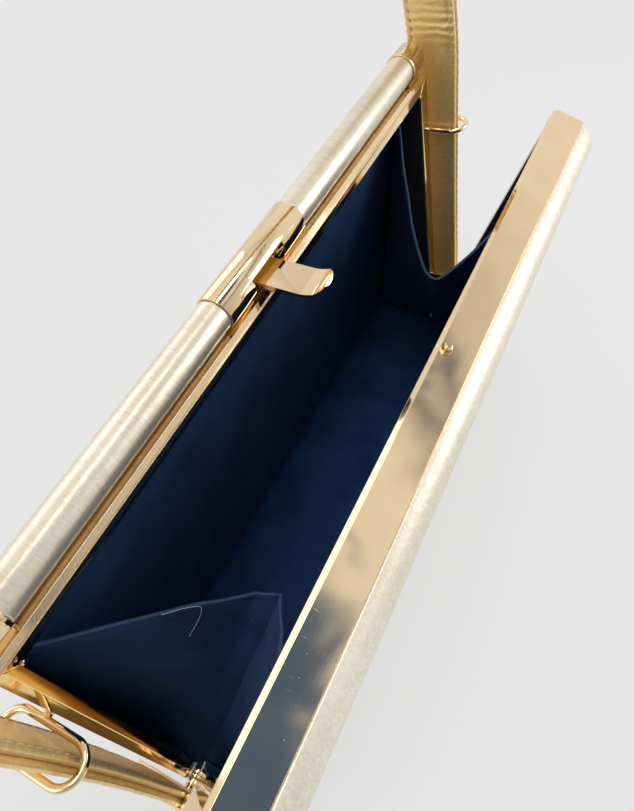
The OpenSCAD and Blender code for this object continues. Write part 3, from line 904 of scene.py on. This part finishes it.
# The studio
def make_studio():
    """Pale walls all round. In front they have uneven dark streaks and a dusky patch above."""
    world = bpy.data.worlds.new("studio")
    bpy.context.scene.world = world
    world.use_nodes = True
    n = Nodes(world.node_tree)
    direction = n.add("ShaderNodeTexCoord").outputs["Generated"]
    split = n.add("ShaderNodeSeparateXYZ", {"Vector": direction})
    uneven = n.add("ShaderNodeTexNoise", {"Vector": direction, "Scale": 5, "Distortion": 2.5})
    shifted = n.add(
        "ShaderNodeMath",
        {0: uneven.outputs["Fac"], 1: 0.14, 2: split.outputs["Z"]},
        operation="MULTIPLY_ADD",
    ).outputs[0]
    height = n.span(shifted, 0.07, 1.07, 0, 1)
    pale = (0.87, 0.87, 0.87)
    dim = (0.68, 0.67, 0.66)
    dark = (0.16, 0.18, 0.23)
    dusk = (0.085, 0.145, 0.29)
    calm = n.ramp(height, ((0, pale), (0.56, pale), (0.7, dim), (0.86, pale)))
    streaked = n.ramp(
        height,
        (
            (0, pale),
            (0.56, pale),
            (0.7, dim),
            (0.735, dim),
            (0.76, dark),
            (0.785, dim),
            (0.8, dark),
            (0.82, dim),
            (0.86, pale),
            (0.91, pale),
            (0.94, dusk),
        ),
    )
    in_front = n.span(split.outputs["Y"], -0.06, -0.16, 0, 1)
    walls = n.mix(in_front, calm, streaked)
    near_front = n.vector("DOT_PRODUCT", direction, (-0.75, -0.65, -0.1), "Value")
    shade = n.span(near_front, 0.1, 0.8, 1, 0.45)
    shaded = n.add("ShaderNodeVectorMath", {0: walls, "Scale": shade}, operation="SCALE").outputs[0]
    seen = n.add("ShaderNodeLightPath").outputs["Is Camera Ray"]
    color = n.mix(seen, shaded, (*pale, 1))
    n.tree.links.new(color, n.tree.nodes["Background"].inputs["Color"])

    def panel(name, at, aim, size, power):
        """A soft lamp, with its size in metres and its power in watts."""
        data = bpy.data.lights.new(name, "AREA")
        data.shape = "RECTANGLE"
        data.size = size[0]
        data.size_y = size[1]
        data.energy = power
        lamp = bpy.data.objects.new(name, data)
        bpy.context.scene.collection.objects.link(lamp)
        lamp.location = at
        lamp.rotation_mode = "QUATERNION"
        lamp.rotation_quaternion = (Vector(aim) - Vector(at)).to_track_quat("-Z", "Y")

    panel("key_panel", (0.26, -0.3, 0.26), (0.09, 0, 0.09), (0.22, 0.22), 0.5)
    panel("side_panel", (-1.1, 0.5, 0.7), (0, 0, 0.08), (0.8, 0.9), 2.6)
    panel("far_panel", (0.35, 1.3, 0.75), (0, 0, 0.08), (1, 0.9), 2.6)
    panel("top_panel", (0, 0.1, 1.2), (0, 0.08, 0.05), (1.2, 0.4), 5)


def make_floor():
    """A plain pale floor. Four fifths of what the camera and the metal see of it is even,
    and the rest takes light and shadow."""
    reach = 6
    mesh = bpy.data.meshes.new("floor")
    corners = [(-reach, -reach, 0), (reach, -reach, 0), (reach, reach, 0), (-reach, reach, 0)]
    mesh.from_pydata(corners, [], [(0, 1, 2, 3)])
    floor = bpy.data.objects.new("floor", mesh)
    bpy.context.scene.collection.objects.link(floor)
    material = bpy.data.materials.new("floor")
    material.use_nodes = True
    n = Nodes(material.node_tree)
    n.tree.nodes.clear()
    pale = (0.775, 0.775, 0.775, 1)
    diffuse = n.add("ShaderNodeBsdfDiffuse", {"Color": pale})
    glow = n.add("ShaderNodeEmission", {"Color": pale})
    path = n.add("ShaderNodeLightPath")
    seen = n.math("MAXIMUM", path.outputs["Is Camera Ray"], path.outputs["Is Glossy Ray"])
    glow_share = 0.8
    part = n.math("MULTIPLY", seen, glow_share)
    mix = n.add("ShaderNodeMixShader", {"Fac": part, 1: diffuse.outputs[0], 2: glow.outputs[0]})
    n.add("ShaderNodeOutputMaterial", {"Surface": mix.outputs[0]})
    mesh.materials.append(material)


make_camera()
make_studio()
make_floor()
dress_all()

for half, word in ((back, "back"), (front, "front")):
    cover = make_cover(half, word + "_cover")
    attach(cover, word + "_half")
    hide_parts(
        word + "_leather", word + "_padding", word + "_end_near", word + "_end_far"
    )
    for end, end_word in ((near, "near"), (far, "far")):
        wall = make_lining_end(half, end, word + "_lining_end_" + end_word)

lining_cloth = make_lining()
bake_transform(lining_cloth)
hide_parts("back_lining", "front_lining")

for end, word in ((near, "near"), (far, "far")):
    gusset = make_gusset(end, "gusset_cloth_" + word)
    hem = make_gusset_hem(end, "gusset_hem_" + word)
    soft_pieces = [gusset, hem]
    if end == near:
        soft_pieces.append(make_loose_thread(end, "loose_thread"))
    for piece in soft_pieces:
        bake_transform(piece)
    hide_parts("gusset_" + word)
    wrap = make_bar_wrap(end, "bar_wrap_" + word)
    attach(wrap, "back_half")
    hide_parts("bar_leather_" + word)

for side, word in ((-1, "inner"), (1, "outer")):
    layer = make_strap_layer("strap_layer_" + word, side)
    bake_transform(layer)
    nodes = ["strap_%s_near" % word, "strap_%s_far" % word, "handle_" + word]
    if word == "inner":
        nodes += ["strap_bend_near", "strap_bend_far"]
    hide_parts(*nodes)
stitches = make_stitches("strap_stitches")
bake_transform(stitches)

bpy.context.scene.view_settings.view_transform = "Standard"
bpy.context.view_layer.update()
